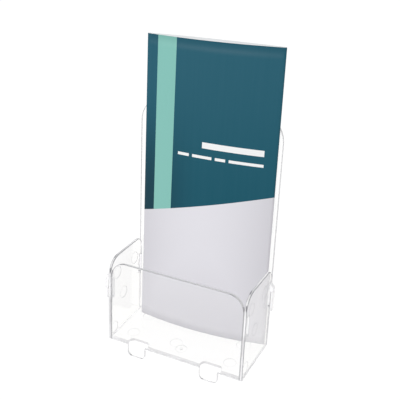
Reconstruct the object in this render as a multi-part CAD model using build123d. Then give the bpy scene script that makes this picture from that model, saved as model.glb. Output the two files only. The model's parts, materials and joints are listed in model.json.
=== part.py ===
"""Clear countertop holder for one folded leaflet.

Five flat clear panels make a pocket with a tall back. Lugs and windows on the side panels
clip holders together side by side, and two tongues under the front panel hook over the
edge of a stand or of the holder in front. A folded leaflet stands in the pocket.

+X is to the right, +Y is to the back and +Z is up. The origin is the middle of the
base panel's underside. Lengths are in millimetres and angles in degrees.
"""

import os
from math import cos, radians, sin, tan

from build123d import *

# Driving dimensions.
WIDTH = 107.0
DEPTH = 44.0
WALL = 2.0
LEAN = 7.4
FRONT_HEIGHT = 62.1
BACK_HEIGHT = 166.5

# Panel outlines.
FRONT_CORNER_RADIUS = 12.0
BACK_CORNER_RADIUS = 18.0
SIDE_TOP_AT_FRONT = 62.2
SIDE_TOP_AT_BACK = 60.8
SIDE_FRONT_RADIUS = 12.0
SIDE_BACK_RADIUS = 6.0
RIM_ROUNDING = 0.4
HEEL_ROUNDING = 1.5

# Tongues under the front panel, and the slot in the base behind each of them.
SLOT_CENTRE = 29.0
SLOT_WIDTH = 16.0
SLOT_LENGTH = 4.4
SLOT_CORNER_RADIUS = 3.0
TONGUE_WIDTH = 14.0
TONGUE_DROP = 8.8
TONGUE_CORNER_RADIUS = 3.2

# Side links: a lug with a hanging lip, and a window for the next holder's lug.
FRONT_LINK_MARGIN = 0.3
BACK_LINK_MARGIN = 0.3
LUG_THICKNESS = 2.6
LUG_TOP = 52.0
LUG_ROOT_BOTTOM = 45.0
LUG_BOTTOM = 31.0
LUG_RAMP = 3.5
LIP_GAP = 2.1
LIP_REACH = 3.1
KNOB_REACH = 4.4
KNOB_TOP = 46.0
KNOB_BOTTOM = 38.0
KNOB_CHAMFER = 0.6
WINDOW_WIDTH = 3.2
WINDOW_TOP = 47.0
WINDOW_BOTTOM = 32.0
WINDOW_CORNER_RADIUS = 0.8

# Round witness marks of the mould: ejector pins on the panels, and the gate on the base.
PIN_MARK_RADIUS = 4.4
MARK_DEPTH = 0.15
SIDE_PIN_MARKS = [(6.5, 6.5), (21.5, 28.5), (16.0, 48.5), (38.0, 48.0)]
BASE_PIN_MARKS = [(-5.0, 15.5), (39.0, 12.5), (-39.0, 12.5), (39.0, 34.0), (-39.0, 34.0)]
GATE_CENTRE = (1.6, 11.0)
GATE_DIMPLE_RADIUS = 4.0
GATE_NUB_RADIUS = 0.9
GATE_NUB_HEIGHT = 0.35

# The folded leaflet. Depths are measured forward from the back panel's inner face.
LEAFLET_HEIGHT = 210.0
LEAFLET_LEFT = -46.9
LEAFLET_RIGHT = 51.2
FLOOR_GAP = 0.3
PAPER = 0.3
SPINE_BACK_DEPTH = 4.7
SPINE_FRONT_DEPTH = 6.0
FLAP_BACK_DEPTH = 1.1
FLAP_FRONT_DEPTH = 2.1
FLAP_SHORT = 5.0
COVER_EDGE_DEPTH = 2.6
COVER_BOW_DEPTH = 8.8

half_width = WIDTH / 2
inner_half_width = half_width - WALL
slope_sine = sin(radians(LEAN))
slope_cosine = cos(radians(LEAN))
wall_along_y = WALL / slope_cosine


def leaning_plane(y_at_underside):
    """A plane that leans back with the walls: x to the right, y up the slope, z to the front."""
    return Plane(
        origin=(0, y_at_underside, 0),
        x_dir=(1, 0, 0),
        z_dir=(0, -slope_cosine, slope_sine),
    )


def lean_shift(height):
    """How far back a wall stands at a height above the underside."""
    return height * tan(radians(LEAN))


front_plane = leaning_plane(-DEPTH / 2)
back_plane = leaning_plane(DEPTH / 2)
front_face_y = -DEPTH / 2
front_inner_y = -DEPTH / 2 + wall_along_y
back_inner_y = DEPTH / 2 - wall_along_y


def wall_outline(width, height, corner_radius):
    """A wall's face with rounded top corners, drawn from a little under the underside."""
    slope_height = height / slope_cosine + WALL
    outline = Pos(0, slope_height / 2 - WALL) * Rectangle(width, slope_height)
    top_corners = outline.vertices().group_by(Axis.Y)[-1]
    return fillet(top_corners, corner_radius)


def below_underside():
    """Everything under the base, to cut a leaning wall off level."""
    return Pos(0, 0, -50) * Box(4 * WIDTH, 8 * DEPTH, 100)


def disc(radius, height):
    """A flat disc that stands on its plane's origin."""
    return Cylinder(radius, height, align=(Align.CENTER, Align.CENTER, Align.MIN))


def make_front_panel():
    """Front wall between the side panels, with the two tongues that hang from it."""
    outline = wall_outline(2 * inner_half_width, FRONT_HEIGHT, FRONT_CORNER_RADIUS)
    panel = extrude(front_plane * outline, -WALL) - below_underside()
    rim = [edge for edge in panel.edges() if edge.center().Z > LUG_TOP]
    panel = fillet(rim, RIM_ROUNDING)
    for centre in (-SLOT_CENTRE, SLOT_CENTRE):
        left = centre - SLOT_WIDTH / 2
        tongue = Pos(left + TONGUE_WIDTH / 2, 0) * Rectangle(TONGUE_WIDTH, 2 * TONGUE_DROP)
        lower_corners = tongue.vertices().group_by(Axis.Y)[0]
        tongue = fillet(lower_corners, TONGUE_CORNER_RADIUS)
        tongue_solid = extrude(front_plane * tongue, -WALL)
        level_cut = Pos(0, 0, 50 + WALL) * Box(4 * WIDTH, 8 * DEPTH, 100)
        panel += tongue_solid - level_cut
    return panel


def make_back_panel():
    """Tall back wall across the whole width, with large rounded top corners."""
    outline = wall_outline(WIDTH, BACK_HEIGHT, BACK_CORNER_RADIUS)
    panel = extrude(back_plane * outline, WALL) - below_underside()
    heel = panel.edges().group_by(Axis.Z)[0].sort_by(Axis.Y)[-1]
    panel = fillet(heel, HEEL_ROUNDING)
    rim = [edge for edge in panel.edges() if edge.center().Z > SIDE_TOP_AT_BACK]
    return fillet(rim, RIM_ROUNDING)


def make_base_panel():
    """Floor between the four walls, with a slot behind each tongue."""
    outline = Polyline(
        (front_inner_y, 0),
        (back_inner_y, 0),
        (back_inner_y + lean_shift(WALL), WALL),
        (front_inner_y + lean_shift(WALL), WALL),
        close=True,
    )
    panel = extrude(Plane.YZ * make_face(outline), inner_half_width, both=True)
    for centre in (-SLOT_CENTRE, SLOT_CENTRE):
        slot = Rectangle(SLOT_WIDTH, 2 * SLOT_LENGTH)
        rear_corners = slot.vertices().group_by(Axis.Y)[-1]
        slot = fillet(rear_corners, SLOT_CORNER_RADIUS)
        slot = Pos(centre, front_inner_y) * slot
        panel -= extrude(slot, 2 * WALL, both=True)
    for x, y in BASE_PIN_MARKS:
        panel -= Pos(x, front_face_y + y, WALL - MARK_DEPTH) * disc(PIN_MARK_RADIUS, WALL)
    gate_x, gate_y = GATE_CENTRE[0], front_face_y + GATE_CENTRE[1]
    panel -= Pos(gate_x, gate_y, WALL - 2 * MARK_DEPTH) * disc(GATE_DIMPLE_RADIUS, WALL)
    panel += Pos(gate_x, gate_y, WALL / 2) * disc(GATE_NUB_RADIUS, WALL / 2 + GATE_NUB_HEIGHT)
    return panel


def side_outline():
    """Outline of a side panel, seen from the side: y to the back and z up."""
    corners = [
        (front_face_y, 0),
        (back_inner_y, 0),
        (back_inner_y + lean_shift(SIDE_TOP_AT_BACK), SIDE_TOP_AT_BACK),
        (front_face_y + lean_shift(SIDE_TOP_AT_FRONT), SIDE_TOP_AT_FRONT),
    ]
    outline = make_face(Polyline(*corners, close=True))
    top_back = outline.vertices().sort_by_distance((*corners[2], 0))[0]
    outline = fillet(top_back, SIDE_BACK_RADIUS)
    top_front = outline.vertices().sort_by_distance((*corners[3], 0))[0]
    return fillet(top_front, SIDE_FRONT_RADIUS)


def link_edge_y(end):
    """Front of a link window, at the level of the underside."""
    if end == "front":
        return front_inner_y + FRONT_LINK_MARGIN
    return back_inner_y - BACK_LINK_MARGIN - WINDOW_WIDTH


def link_window(side, end):
    """The slot through a side panel that takes a neighbour's lug."""
    height = WINDOW_TOP - WINDOW_BOTTOM
    middle = (WINDOW_TOP + WINDOW_BOTTOM) / 2
    cutter = Box(4 * WALL, WINDOW_WIDTH, height)
    cutter = fillet(cutter.edges().filter_by(Axis.X), WINDOW_CORNER_RADIUS)
    y = link_edge_y(end) + WINDOW_WIDTH / 2 + lean_shift(middle)
    return Pos(side * half_width, y, middle) * Rot(-LEAN, 0, 0) * cutter


def link_lug(side, end, knob):
    """A lug that stands out of a side panel, with a lip that hangs down behind a neighbour's wall."""
    knob_outline = [
        (LIP_REACH, KNOB_TOP),
        (KNOB_REACH, KNOB_TOP - KNOB_CHAMFER),
        (KNOB_REACH, KNOB_BOTTOM + KNOB_CHAMFER),
        (LIP_REACH, KNOB_BOTTOM),
    ]
    outline = [
        (-WALL / 2, LUG_TOP),
        (0, LUG_TOP),
        (LIP_REACH, LUG_TOP - LUG_RAMP),
        *(knob_outline if knob else []),
        (LIP_REACH, LUG_BOTTOM),
        (LIP_GAP, LUG_BOTTOM),
        (LIP_GAP, LUG_ROOT_BOTTOM),
        (-WALL / 2, LUG_ROOT_BOTTOM),
    ]
    plane = Plane(
        origin=(side * half_width, link_edge_y(end) + (WINDOW_WIDTH - LUG_THICKNESS) / 2, 0),
        x_dir=(side, 0, 0),
        z_dir=(0, -side * slope_cosine, side * slope_sine),
    )
    points = [(reach, height / slope_cosine) for reach, height in outline]
    return extrude(plane * make_face(Polyline(*points, close=True)), -side * LUG_THICKNESS)


def make_side_panel(side):
    """Side wall, with one lug, the window behind its lip, and one open window."""
    panel = Pos(inner_half_width, 0, 0) * extrude(Plane.YZ * side_outline(), WALL)
    if side < 0:
        panel = mirror(panel, about=Plane.YZ)
    rim = [edge for edge in panel.edges() if edge.center().Z > LUG_TOP + 1]
    panel = fillet(rim, RIM_ROUNDING)
    for end in ("front", "back"):
        panel -= link_window(side, end)
    for y, z in SIDE_PIN_MARKS:
        mark = Rot(0, side * 90, 0) * disc(PIN_MARK_RADIUS, MARK_DEPTH)
        panel -= Pos(side * inner_half_width, front_face_y + y, z) * mark
    lug_end = "back" if side > 0 else "front"
    panel += link_lug(side, lug_end, knob=side < 0)
    return panel


def make_leaflet():
    """One sheet folded twice: back leaf, inner flap folded in at the right, and a bowed cover."""
    left = LEAFLET_LEFT + PAPER / 2
    right = LEAFLET_RIGHT - PAPER / 2
    spine_radius = (SPINE_FRONT_DEPTH - SPINE_BACK_DEPTH) / 2
    fold_radius = (FLAP_FRONT_DEPTH - FLAP_BACK_DEPTH) / 2
    flap_depth_at_spine = SPINE_BACK_DEPTH + FLAP_FRONT_DEPTH - FLAP_BACK_DEPTH
    flap_end = (left + FLAP_SHORT, flap_depth_at_spine)
    flap_start = (right - fold_radius, FLAP_FRONT_DEPTH)
    fold_tip = (right, (FLAP_FRONT_DEPTH + FLAP_BACK_DEPTH) / 2)
    back_right = (right - fold_radius, FLAP_BACK_DEPTH)
    back_left = (left + spine_radius, SPINE_BACK_DEPTH)
    spine_tip = (left, (SPINE_FRONT_DEPTH + SPINE_BACK_DEPTH) / 2)
    cover_left = (left + spine_radius, SPINE_FRONT_DEPTH)
    cover_middle = ((left + right) / 2, COVER_BOW_DEPTH)
    cover_right = (right, COVER_EDGE_DEPTH)
    sheet = Wire(
        [
            Edge.make_line(flap_end, flap_start),
            Edge.make_three_point_arc(flap_start, fold_tip, back_right),
            Edge.make_line(back_right, back_left),
            Edge.make_three_point_arc(back_left, spine_tip, cover_left),
            Edge.make_three_point_arc(cover_left, cover_middle, cover_right),
        ]
    )
    section = make_face(offset(sheet, amount=PAPER / 2, side=Side.BOTH).edges())
    foot_height = WALL + FLOOR_GAP
    foot = Plane(
        origin=(0, back_inner_y + lean_shift(foot_height), foot_height),
        x_dir=(1, 0, 0),
        z_dir=(0, -slope_sine, -slope_cosine),
    )
    return extrude(foot * section, -LEAFLET_HEIGHT)


parts = {
    "front_panel": make_front_panel(),
    "back_panel": make_back_panel(),
    "base_panel": make_base_panel(),
    "left_side_panel": make_side_panel(-1),
    "right_side_panel": make_side_panel(1),
    "leaflet": make_leaflet(),
}

os.makedirs("parts", exist_ok=True)
for name, shape in parts.items():
    export_step(shape, f"parts/{name}.step")
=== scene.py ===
import json
from math import cos, pi, radians, sin, sqrt

import bpy
from mathutils import Matrix, Vector


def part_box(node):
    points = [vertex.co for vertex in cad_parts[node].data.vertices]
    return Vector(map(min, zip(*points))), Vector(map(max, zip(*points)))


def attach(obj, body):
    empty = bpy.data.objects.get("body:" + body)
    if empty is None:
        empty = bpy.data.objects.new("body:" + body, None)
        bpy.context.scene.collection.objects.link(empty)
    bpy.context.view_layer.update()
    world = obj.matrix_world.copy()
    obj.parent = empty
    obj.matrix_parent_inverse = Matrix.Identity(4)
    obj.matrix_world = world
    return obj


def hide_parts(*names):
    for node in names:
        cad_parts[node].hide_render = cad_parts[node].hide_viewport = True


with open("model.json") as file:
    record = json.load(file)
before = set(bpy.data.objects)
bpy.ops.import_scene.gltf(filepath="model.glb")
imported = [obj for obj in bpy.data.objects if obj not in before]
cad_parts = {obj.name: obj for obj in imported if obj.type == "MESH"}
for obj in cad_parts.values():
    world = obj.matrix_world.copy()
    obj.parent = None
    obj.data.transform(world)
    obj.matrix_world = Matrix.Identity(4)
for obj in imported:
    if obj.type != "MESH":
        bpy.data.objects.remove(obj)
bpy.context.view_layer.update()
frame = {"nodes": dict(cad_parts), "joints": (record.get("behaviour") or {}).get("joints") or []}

# --- Studio -----------------------------------------------------------------
# A plain white lit table and soft light from all round, as in a light tent.
# The camera looks down on the holder from the front right.
MM = 0.001
WHITE_LIGHT = (1, 1, 1, 1)

VIEW_AZIMUTH = radians(27.95)
VIEW_ELEVATION = radians(27.29)
VIEW_ROLL = radians(-1.18)
VIEW_DISTANCE = 472.9 * MM
VIEW_TARGET = Vector((12.83, 0.0, 117.99)) * MM
LENS = 66.0
CLOSEST_SEEN = 10 * MM

TABLE_REACH = 6.0
TABLE_GAP = 0.3 * MM
TABLE_GLOW = 0.96
TABLE_COLOUR = (0.1, 0.1, 0.1, 1)
TABLE_ROUGHNESS = 0.9

# Grey at the horizon and below it, and white from 30 degrees up, where the height is 0.5.
SKY_LOW = (0.35, 0.35, 0.36, 1)
SKY_FULL_AT = 0.5
SKY_STRENGTH = 0.8

SOFTBOX_PLACE = Vector((-450, -950, 850)) * MM
SOFTBOX_AIM = Vector((0, 10, 100)) * MM
SOFTBOX_SIZE = 500 * MM
SOFTBOX_POWER = 5.0

to_camera = Vector((
    sin(VIEW_AZIMUTH) * cos(VIEW_ELEVATION),
    -cos(VIEW_AZIMUTH) * cos(VIEW_ELEVATION),
    sin(VIEW_ELEVATION),
))
camera_data = bpy.data.cameras.new("camera")
camera_data.lens = LENS
camera_data.clip_start = CLOSEST_SEEN
camera = bpy.data.objects.new("camera", camera_data)
bpy.context.collection.objects.link(camera)
place = Matrix.Translation(VIEW_TARGET + VIEW_DISTANCE * to_camera)
aim = (-to_camera).to_track_quat("-Z", "Y").to_matrix().to_4x4()
camera.matrix_world = place @ aim @ Matrix.Rotation(VIEW_ROLL, 4, "Z")
bpy.context.scene.camera = camera
bpy.context.scene.view_settings.view_transform = "Standard"


def new_material(name):
    """A material with nodes, its Principled shader and its output."""
    material = bpy.data.materials.new(name)
    material.use_nodes = True
    nodes = material.node_tree.nodes
    return material, nodes["Principled BSDF"], nodes["Material Output"]


def new_piece(name, points, faces):
    """An object made from points and faces."""
    mesh = bpy.data.meshes.new(name)
    mesh.from_pydata(points, [], faces)
    piece = bpy.data.objects.new(name, mesh)
    bpy.context.collection.objects.link(piece)
    return piece


table_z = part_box("front_panel")[0].z - TABLE_GAP
corners = [(-1, -1), (1, -1), (1, 1), (-1, 1)]
table_points = [(x * TABLE_REACH, y * TABLE_REACH, table_z) for x, y in corners]
table = new_piece("table", table_points, [(0, 1, 2, 3)])
table_material, shader, _ = new_material("white_table")
shader.inputs["Base Color"].default_value = TABLE_COLOUR
shader.inputs["Roughness"].default_value = TABLE_ROUGHNESS
shader.inputs["Specular IOR Level"].default_value = 0.0
shader.inputs["Emission Color"].default_value = WHITE_LIGHT
shader.inputs["Emission Strength"].default_value = TABLE_GLOW
table.data.materials.append(table_material)

sky = bpy.data.worlds.new("sky")
bpy.context.scene.world = sky
sky.use_nodes = True
nodes, links = sky.node_tree.nodes, sky.node_tree.links
where = nodes.new("ShaderNodeTexCoord")
height = nodes.new("ShaderNodeSeparateXYZ")
ramp = nodes.new("ShaderNodeValToRGB")
ramp.color_ramp.elements[0].position = 0.0
ramp.color_ramp.elements[0].color = SKY_LOW
ramp.color_ramp.elements[1].position = SKY_FULL_AT
ramp.color_ramp.elements[1].color = WHITE_LIGHT
links.new(where.outputs["Generated"], height.inputs[0])
links.new(height.outputs["Z"], ramp.inputs[0])
links.new(ramp.outputs[0], nodes["Background"].inputs["Color"])
nodes["Background"].inputs["Strength"].default_value = SKY_STRENGTH
ray = nodes.new("ShaderNodeLightPath")
backdrop = nodes.new("ShaderNodeBackground")
backdrop.inputs["Color"].default_value = WHITE_LIGHT
seen_sky = nodes.new("ShaderNodeMixShader")
links.new(ray.outputs["Is Camera Ray"], seen_sky.inputs[0])
links.new(nodes["Background"].outputs[0], seen_sky.inputs[1])
links.new(backdrop.outputs[0], seen_sky.inputs[2])
links.new(seen_sky.outputs[0], nodes["World Output"].inputs["Surface"])

softbox_data = bpy.data.lights.new("softbox", "AREA")
softbox_data.shape = "DISK"
softbox_data.size = SOFTBOX_SIZE
softbox_data.energy = SOFTBOX_POWER
softbox = bpy.data.objects.new("softbox", softbox_data)
bpy.context.collection.objects.link(softbox)
softbox_aim = (SOFTBOX_AIM - SOFTBOX_PLACE).to_track_quat("-Z", "Y").to_matrix().to_4x4()
softbox.matrix_world = Matrix.Translation(SOFTBOX_PLACE) @ softbox_aim

# --- Clear panels -------------------------------------------------------------
# Five flat panels of clear polystyrene, 2 mm thick, bonded edge to edge.
# Their faces are polished and their rims are a little hazy from the mould; the rims also get a faint
# painted glow, and the arrises painted grey shade lines.
up_slope = Vector(frame["joints"][0]["axis"])
to_front = Vector((0, -up_slope.z, up_slope.y))
PLASTIC_IOR = 1.55
WELD_DISTANCE = 0.001 * MM
CLEAR = (0.995, 0.994, 0.99, 1)
# The side panels are the same plastic, given a darker tint as painted shade.
SIDE_PANEL_SHADED_TINT = (0.972, 0.969, 0.96, 1)
# Which way each panel faces, its colour, and how dark the painted shade along its arrises is.
PANELS = {
    "front_panel": (to_front, CLEAR, 0.7),
    "back_panel": (to_front, CLEAR, 0.3),
    "base_panel": (Vector((0, 0, 1)), CLEAR, 0.35),
    "left_side_panel": (Vector((1, 0, 0)), SIDE_PANEL_SHADED_TINT, 0.75),
    "right_side_panel": (Vector((1, 0, 0)), SIDE_PANEL_SHADED_TINT, 0.75),
}
# A face is a rim where the cosine of its turn from the panel's own direction is under this.
RIM_TURN = 0.9
RIM_HAZE = 0.74
RIM_COLOUR = (0.93, 0.925, 0.94, 1)
# A faint glow painted on the hazy rims: painted light.
RIM_PAINTED_GLOW = 0.07
RIM_ROUGHNESS = 0.35
ARRIS_RADIUS = 0.24 * MM
# Painted shade goes on an arris where the cosine of the turn that rounding would give is under this.
ARRIS_TURN = 0.998
ARRIS_SAMPLES = 4
ARRIS_PAINTED_SHADE_COLOUR = (0.08, 0.08, 0.1, 1)
JOINT_GAP = 0.03 * MM


def add_node(material, kind, **settings):
    """A new node in the material, with its settings."""
    node = material.node_tree.nodes.new(kind)
    for setting, value in settings.items():
        setattr(node, setting, value)
    return node


def feed(material, socket, value):
    """Sets a socket to a value, or links it to another node's socket."""
    if isinstance(value, bpy.types.NodeSocket):
        material.node_tree.links.new(value, socket)
    else:
        socket.default_value = value


def maths(material, operation, *values):
    """The result of a Math node."""
    node = add_node(material, "ShaderNodeMath", operation=operation)
    for socket, value in zip(node.inputs, values):
        feed(material, socket, value)
    return node.outputs[0]


def blend_shaders(material, share, first, second):
    """A mix of two shaders."""
    node = add_node(material, "ShaderNodeMixShader")
    feed(material, node.inputs[0], share)
    feed(material, node.inputs[1], first)
    feed(material, node.inputs[2], second)
    return node.outputs[0]


def clear_plastic(name, face_direction, colour, painted_arris_shade):
    """Clear plastic with hazy rims that glow faintly as painted light, and painted grey shade lines
    along its arrises.
    """
    material, glass, output = new_material(name)
    glass.inputs["Base Color"].default_value = colour
    glass.inputs["Roughness"].default_value = 0.0
    glass.inputs["IOR"].default_value = PLASTIC_IOR
    glass.inputs["Transmission Weight"].default_value = 1.0
    geometry = add_node(material, "ShaderNodeNewGeometry")
    true_normal = geometry.outputs["True Normal"]
    rounded = add_node(material, "ShaderNodeBevel", samples=ARRIS_SAMPLES)
    rounded.inputs["Radius"].default_value = ARRIS_RADIUS
    haze_and_glow = add_node(material, "ShaderNodeBsdfPrincipled")
    haze_and_glow.inputs["Base Color"].default_value = RIM_COLOUR
    haze_and_glow.inputs["Roughness"].default_value = RIM_ROUGHNESS
    # Painted light: the hazy rims glow faintly.
    haze_and_glow.inputs["Emission Color"].default_value = WHITE_LIGHT
    haze_and_glow.inputs["Emission Strength"].default_value = RIM_PAINTED_GLOW
    across_panel = add_node(material, "ShaderNodeVectorMath", operation="DOT_PRODUCT")
    feed(material, across_panel.inputs[0], true_normal)
    across_panel.inputs[1].default_value = face_direction
    facing = maths(material, "ABSOLUTE", across_panel.outputs["Value"])
    on_rim = maths(material, "LESS_THAN", facing, RIM_TURN)
    rim_share = maths(material, "MULTIPLY", on_rim, RIM_HAZE)
    solid = blend_shaders(material, rim_share, glass.outputs[0], haze_and_glow.outputs[0])
    turned = add_node(material, "ShaderNodeVectorMath", operation="DOT_PRODUCT")
    feed(material, turned.inputs[0], true_normal)
    feed(material, turned.inputs[1], rounded.outputs[0])
    on_arris = maths(material, "LESS_THAN", turned.outputs["Value"], ARRIS_TURN)
    # Painted shade: dark grey lines along the arrises stand in for the shade that the edges of clear
    # plastic show.
    edge = add_node(material, "ShaderNodeBsdfPrincipled")
    edge.inputs["Base Color"].default_value = ARRIS_PAINTED_SHADE_COLOUR
    edge.inputs["Roughness"].default_value = RIM_ROUGHNESS
    arris_share = maths(material, "MULTIPLY", on_arris, painted_arris_shade)
    solid = blend_shaders(material, arris_share, solid, edge.outputs[0])
    ray = add_node(material, "ShaderNodeLightPath")
    light = maths(material, "MAXIMUM", ray.outputs["Is Shadow Ray"], ray.outputs["Is Diffuse Ray"])
    # Light that falls through the plastic passes straight on, so its shadow stays faint.
    passing = add_node(material, "ShaderNodeBsdfTransparent")
    feed(material, output.inputs["Surface"], blend_shaders(material, light, solid, passing.outputs[0]))
    return material


for name, (direction, colour, painted_arris_shade) in PANELS.items():
    panel = frame["nodes"][name]
    for slot in panel.material_slots:
        slot.material = clear_plastic(name + "_plastic", direction, colour, painted_arris_shade)
    panel.modifiers.new("weld", "WELD").merge_threshold = WELD_DISTANCE
    gap = panel.modifiers.new("joint_gap", "DISPLACE")
    gap.strength = -JOINT_GAP
    gap.mid_level = 0.0

# --- Leaflet --------------------------------------------------------------------
# One sheet of coated paper, folded twice: a back leaf, a flap folded in at the right, and
# a cover that bows forward from the spine at the left. It stands loose in the pocket.
LEAFLET_HEIGHT = 210 * MM
PAPER = 0.2 * MM
SPINE_X = -46.8 * MM
COVER_EDGE_X = 51.3 * MM
FOLD_X = 50.6 * MM
FLAP_END_X = -41.5 * MM
# Radii of the two folds, at the middle of the paper's thickness.
SPINE_RADIUS = 0.6 * MM
FOLD_RADIUS = 0.22 * MM
FOOT_GAP = 0.25 * MM
FLOOR_TOP = 2.0 * MM
# Depths forward of the back panel, at the foot and at the top.
COVER_AT_SPINE = (6.2 * MM, 4.3 * MM)
COVER_AT_EDGE = (2.2 * MM, 1.3 * MM)
COVER_BOW = (4.6 * MM, 2.1 * MM)
BACK_AT_FOLD = (0.5 * MM, 0.55 * MM)
BACK_BOW = (1.2 * MM, 1.5 * MM)
FLAP_BOW = (0.5 * MM, 0.4 * MM)
LEAF_STEPS = 48
BEND_STEPS = 8
ROWS = 24


def between(a, b, share):
    """A value part of the way from a to b."""
    return a + (b - a) * share


def bulge(share):
    """0 at both ends and 1 in the middle."""
    return 4 * share * (1 - share)


def cover_depth(x, end):
    """How far the cover stands from the back panel, at the foot (end 0) or the top (end 1)."""
    share = (x - SPINE_X) / (COVER_EDGE_X - SPINE_X)
    return between(COVER_AT_SPINE[end], COVER_AT_EDGE[end], share) + COVER_BOW[end] * bulge(share)


def back_depth(x, end):
    """The same for the back leaf, which starts where the spine ends."""
    share = (x - SPINE_X) / (FOLD_X - SPINE_X)
    start = COVER_AT_SPINE[end] - 2 * SPINE_RADIUS
    return between(start, BACK_AT_FOLD[end], share) - BACK_BOW[end] * bulge(share)


def flap_depth(x, end):
    """The same for the flap, which lies on the back leaf."""
    share = (x - SPINE_X) / (FOLD_X - SPINE_X)
    return back_depth(x, end) + 2 * FOLD_RADIUS + FLAP_BOW[end] * bulge(share)


def leaf_points(first_x, last_x, depth):
    """Points along one leaf: x, depth at the foot, depth at the top."""
    for step in range(LEAF_STEPS + 1):
        x = between(first_x, last_x, step / LEAF_STEPS)
        yield x, depth(x, 0), depth(x, 1)


def bend_points(x, radius, side, low_depth):
    """Points round a fold, from its back to its front."""
    for step in range(1, BEND_STEPS):
        angle = pi * step / BEND_STEPS
        rise = radius * (1 - cos(angle))
        yield x + side * radius * sin(angle), low_depth(x, 0) + rise, low_depth(x, 1) + rise


flap = list(leaf_points(FLAP_END_X, FOLD_X - FOLD_RADIUS, flap_depth))
fold = list(bend_points(FOLD_X - FOLD_RADIUS, FOLD_RADIUS, 1, back_depth))[::-1]
back = list(leaf_points(FOLD_X - FOLD_RADIUS, SPINE_X + SPINE_RADIUS, back_depth))
spine = list(bend_points(SPINE_X + SPINE_RADIUS, SPINE_RADIUS, -1, back_depth))
cover = list(leaf_points(SPINE_X + SPINE_RADIUS, COVER_EDGE_X, cover_depth))
path = flap + fold + back + spine + cover

back_inner_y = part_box("back_panel")[0].y
foot_z = FLOOR_TOP + FOOT_GAP
panel_foot = Vector((0, back_inner_y, 0)) + up_slope * (foot_z / up_slope.z)


def leaflet_point(x, foot_depth, top_depth, share):
    """A point on the sheet, which stands on the floor and leans on the back panel."""
    foot = panel_foot - Vector((0, foot_depth / up_slope.z, 0))
    foot_rise = (foot - panel_foot).dot(up_slope)
    foot_out = (foot - panel_foot).dot(to_front)
    rise = sqrt(LEAFLET_HEIGHT ** 2 - (top_depth - foot_out) ** 2)
    top = panel_foot + up_slope * (foot_rise + rise) + to_front * top_depth
    return foot.lerp(top, share) + Vector((x, 0, 0))


points = [leaflet_point(x, low, high, row / ROWS) for row in range(ROWS + 1) for x, low, high in path]
across = len(path)
faces = [
    (row * across + i, row * across + i + 1, (row + 1) * across + i + 1, (row + 1) * across + i)
    for row in range(ROWS)
    for i in range(across - 1)
]
leaflet = new_piece("folded_leaflet", points, faces)
sheet_width = FOLD_X - SPINE_X
# How far each point lies from the spine along the sheet: less than 0 on the back leaf and flap.
along = (
    [-2 * sheet_width + (x - SPINE_X) for x, _, _ in flap]
    + [-sheet_width] * len(fold)
    + [-(x - SPINE_X) for x, _, _ in back]
    + [0.0] * len(spine)
    + [x - SPINE_X for x, _, _ in cover]
)
uv = leaflet.data.uv_layers.new(name="print")
for loop in leaflet.data.loops:
    row, i = divmod(loop.vertex_index, across)
    uv.data[loop.index].uv = (along[i] / LEAFLET_HEIGHT, row / ROWS)
for face in leaflet.data.polygons:
    face.use_smooth = True
paper = leaflet.modifiers.new("paper", "SOLIDIFY")
paper.thickness = PAPER
paper.offset = 0.0
paper.material_offset = 1
paper.material_offset_rim = 2

# The inks, the two whites of the paper, and a darker pale grey that is painted shade.
TEAL = (0.001, 0.078, 0.118, 1)
TEAL_LIGHT = (0.014, 0.100, 0.146, 1)
TEAL_DARK = (0.0, 0.036, 0.058, 1)
MINT = (0.222, 0.505, 0.45, 1)
PALE = (0.73, 0.72, 0.765, 1)
PALE_SHADED = (0.62, 0.61, 0.65, 1)
WHITE = (0.85, 0.86, 0.86, 1)
INSIDE_WHITE = (0.87, 0.89, 0.90, 1)
STREAKS_PER_MM = 0.5
STREAK_STRETCH = 40.0
STREAK_DETAIL = 3.0
STREAK_SHARE = 0.45
NOISE_MIDDLE = 0.5
# The print's places are in millimetres: across from the spine, and up from the foot.
TEAL_LIGHTER_UP = (80.0, 210.0)
# The teal grows darker towards the lower left, by the spine.
DARK_TEAL_TOP = 175.0
DARK_TEAL_FOOT = 90.0
DARK_TEAL_RIGHT = 45.0
STRIPE = (8.5, 22.8)
PALE_MIDDLE = 48.0
# Painted shade on the pale grey: where it starts and ends up from the foot, and how deep it goes
# there.
PALE_FOOT_SHADE_FADE = (70.0, 0.0)
PALE_FOOT_SHADE_SHARE = 0.75
BORDER_LEFT = 84.0
BORDER_RISE = 0.283
TITLE = (45.1, 89.0, 138.6, 142.8)
WORDS = [(27.0, 35.5), (38.0, 52.5), (55.0, 62.5), (65.0, 89.1)]
WORD_LINE = (131.3, 133.3)
ADDRESS_SPAN = (-68.0, -30.0)
ADDRESS_LINES = (24.0, 30.0, 36.0)
ADDRESS_TALL = 1.6
GRAIN_PER_METRE = 1500.0
GRAIN_STRENGTH = 0.15
GRAIN_DEPTH = 0.02 * MM
GRAIN_DETAIL = 4.0
PRINT_SPECULAR = 0.2
PRINT_ROUGHNESS = (0.4, 0.5)
PLAIN_ROUGHNESS = (0.6, 0.8)

printed, shader, _ = new_material("printed_paper")
uv_map = add_node(printed, "ShaderNodeUVMap", uv_map="print")
split = add_node(printed, "ShaderNodeSeparateXYZ")
feed(printed, split.inputs[0], uv_map.outputs[0])
across_mm = maths(printed, "MULTIPLY", split.outputs[0], LEAFLET_HEIGHT / MM)
up_mm = maths(printed, "MULTIPLY", split.outputs[1], LEAFLET_HEIGHT / MM)


def within(material, value, low, high):
    """1 where the value is between low and high."""
    return maths(material, "COMPARE", value, (low + high) / 2, (high - low) / 2)


def paint(material, share, under, over):
    """One colour over another where share is 1."""
    node = add_node(material, "ShaderNodeMix", data_type="RGBA")
    feed(material, node.inputs["Factor"], share)
    feed(material, node.inputs[6], under)
    feed(material, node.inputs[7], over)
    return node.outputs[2]


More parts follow.
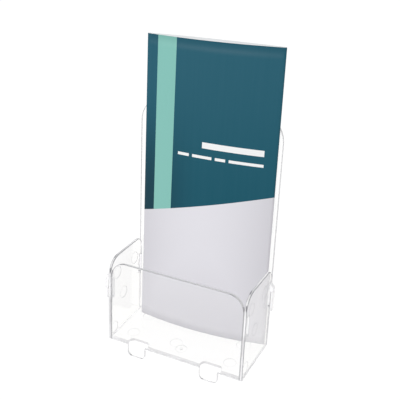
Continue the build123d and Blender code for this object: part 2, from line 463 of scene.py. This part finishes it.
def ramp_up(material, value, low, high):
    """0 at low, 1 at high, and smooth between."""
    node = add_node(material, "ShaderNodeMapRange", interpolation_type="SMOOTHSTEP")
    feed(material, node.inputs["Value"], value)
    node.inputs["From Min"].default_value = low
    node.inputs["From Max"].default_value = high
    return node.outputs["Result"]


stretched = add_node(printed, "ShaderNodeCombineXYZ")
feed(printed, stretched.inputs[0], maths(printed, "MULTIPLY", across_mm, STREAKS_PER_MM))
feed(printed, stretched.inputs[1], maths(printed, "MULTIPLY", up_mm, STREAKS_PER_MM / STREAK_STRETCH))
streaks = add_node(printed, "ShaderNodeTexNoise")
feed(printed, streaks.inputs["Vector"], stretched.outputs[0])
streaks.inputs["Scale"].default_value = 1.0
streaks.inputs["Detail"].default_value = STREAK_DETAIL
off_grey = maths(printed, "SUBTRACT", streaks.outputs[0], NOISE_MIDDLE)
streak = maths(printed, "MULTIPLY", off_grey, STREAK_SHARE)
# The teal grows lighter towards the top.
lightness = maths(printed, "ADD", ramp_up(printed, up_mm, *TEAL_LIGHTER_UP), streak)
ink = paint(printed, lightness, TEAL, TEAL_LIGHT)
darker_low = ramp_up(printed, up_mm, DARK_TEAL_TOP, DARK_TEAL_FOOT)
darker_left = ramp_up(printed, across_mm, DARK_TEAL_RIGHT, 0.0)
lower_left_darkening = maths(printed, "MULTIPLY", darker_low, darker_left)
ink = paint(printed, lower_left_darkening, ink, TEAL_DARK)
stripe = within(printed, across_mm, *STRIPE)
colour = paint(printed, stripe, ink, MINT)
title_across = within(printed, across_mm, *TITLE[:2])
title_up = within(printed, up_mm, *TITLE[2:])
title = maths(printed, "MULTIPLY", title_across, title_up)
word_line = within(printed, up_mm, *WORD_LINE)
marks = title
for word in WORDS:
    bar = maths(printed, "MULTIPLY", within(printed, across_mm, *word), word_line)
    marks = maths(printed, "MAXIMUM", marks, bar)
colour = paint(printed, marks, colour, WHITE)
right_of_spine = maths(printed, "MAXIMUM", across_mm, 0.0)
border = maths(printed, "MULTIPLY_ADD", right_of_spine, BORDER_RISE, BORDER_LEFT)
# Painted shade: the pale grey darkens towards both folds of the cover and towards its foot.
aside = maths(printed, "SUBTRACT", maths(printed, "ABSOLUTE", across_mm), PALE_MIDDLE)
off_middle = maths(printed, "DIVIDE", aside, PALE_MIDDLE)
side_shade_share = maths(printed, "MULTIPLY", off_middle, off_middle)
foot_shade_share = maths(printed, "MULTIPLY", ramp_up(printed, up_mm, *PALE_FOOT_SHADE_FADE), PALE_FOOT_SHADE_SHARE)
shaded_pale = paint(printed, maths(printed, "MAXIMUM", side_shade_share, foot_shade_share), PALE, PALE_SHADED)
colour = paint(printed, maths(printed, "LESS_THAN", up_mm, border), colour, shaded_pale)
for line_foot in ADDRESS_LINES:
    in_line = within(printed, up_mm, line_foot, line_foot + ADDRESS_TALL)
    line = maths(printed, "MULTIPLY", within(printed, across_mm, *ADDRESS_SPAN), in_line)
    colour = paint(printed, line, colour, TEAL)
on_flap = maths(printed, "LESS_THAN", across_mm, -sheet_width / MM)
colour = paint(printed, on_flap, colour, INSIDE_WHITE)
feed(printed, shader.inputs["Base Color"], colour)


def paper_grain(material, shader, roughness):
    """Fine tooth and uneven gloss, as paper has close up."""
    place = add_node(material, "ShaderNodeTexCoord")
    grain = add_node(material, "ShaderNodeTexNoise")
    feed(material, grain.inputs["Vector"], place.outputs["Object"])
    grain.inputs["Scale"].default_value = GRAIN_PER_METRE
    grain.inputs["Detail"].default_value = GRAIN_DETAIL
    tooth = add_node(material, "ShaderNodeBump")
    tooth.inputs["Strength"].default_value = GRAIN_STRENGTH
    tooth.inputs["Distance"].default_value = GRAIN_DEPTH
    feed(material, tooth.inputs["Height"], grain.outputs[0])
    feed(material, shader.inputs["Normal"], tooth.outputs[0])
    gloss = add_node(material, "ShaderNodeMapRange")
    feed(material, gloss.inputs["Value"], grain.outputs[0])
    gloss.inputs["To Min"].default_value = roughness[0]
    gloss.inputs["To Max"].default_value = roughness[1]
    feed(material, shader.inputs["Roughness"], gloss.outputs["Result"])


shader.inputs["Specular IOR Level"].default_value = PRINT_SPECULAR
paper_grain(printed, shader, PRINT_ROUGHNESS)

plain, shader, _ = new_material("plain_paper")
shader.inputs["Base Color"].default_value = INSIDE_WHITE
paper_grain(plain, shader, PLAIN_ROUGHNESS)
# The three slots are the printed side, the plain inside, and the cut edges.
leaflet.data.materials.append(printed)
leaflet.data.materials.append(plain)
leaflet.data.materials.append(plain)
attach(leaflet, "leaflet")
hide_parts("leaflet")
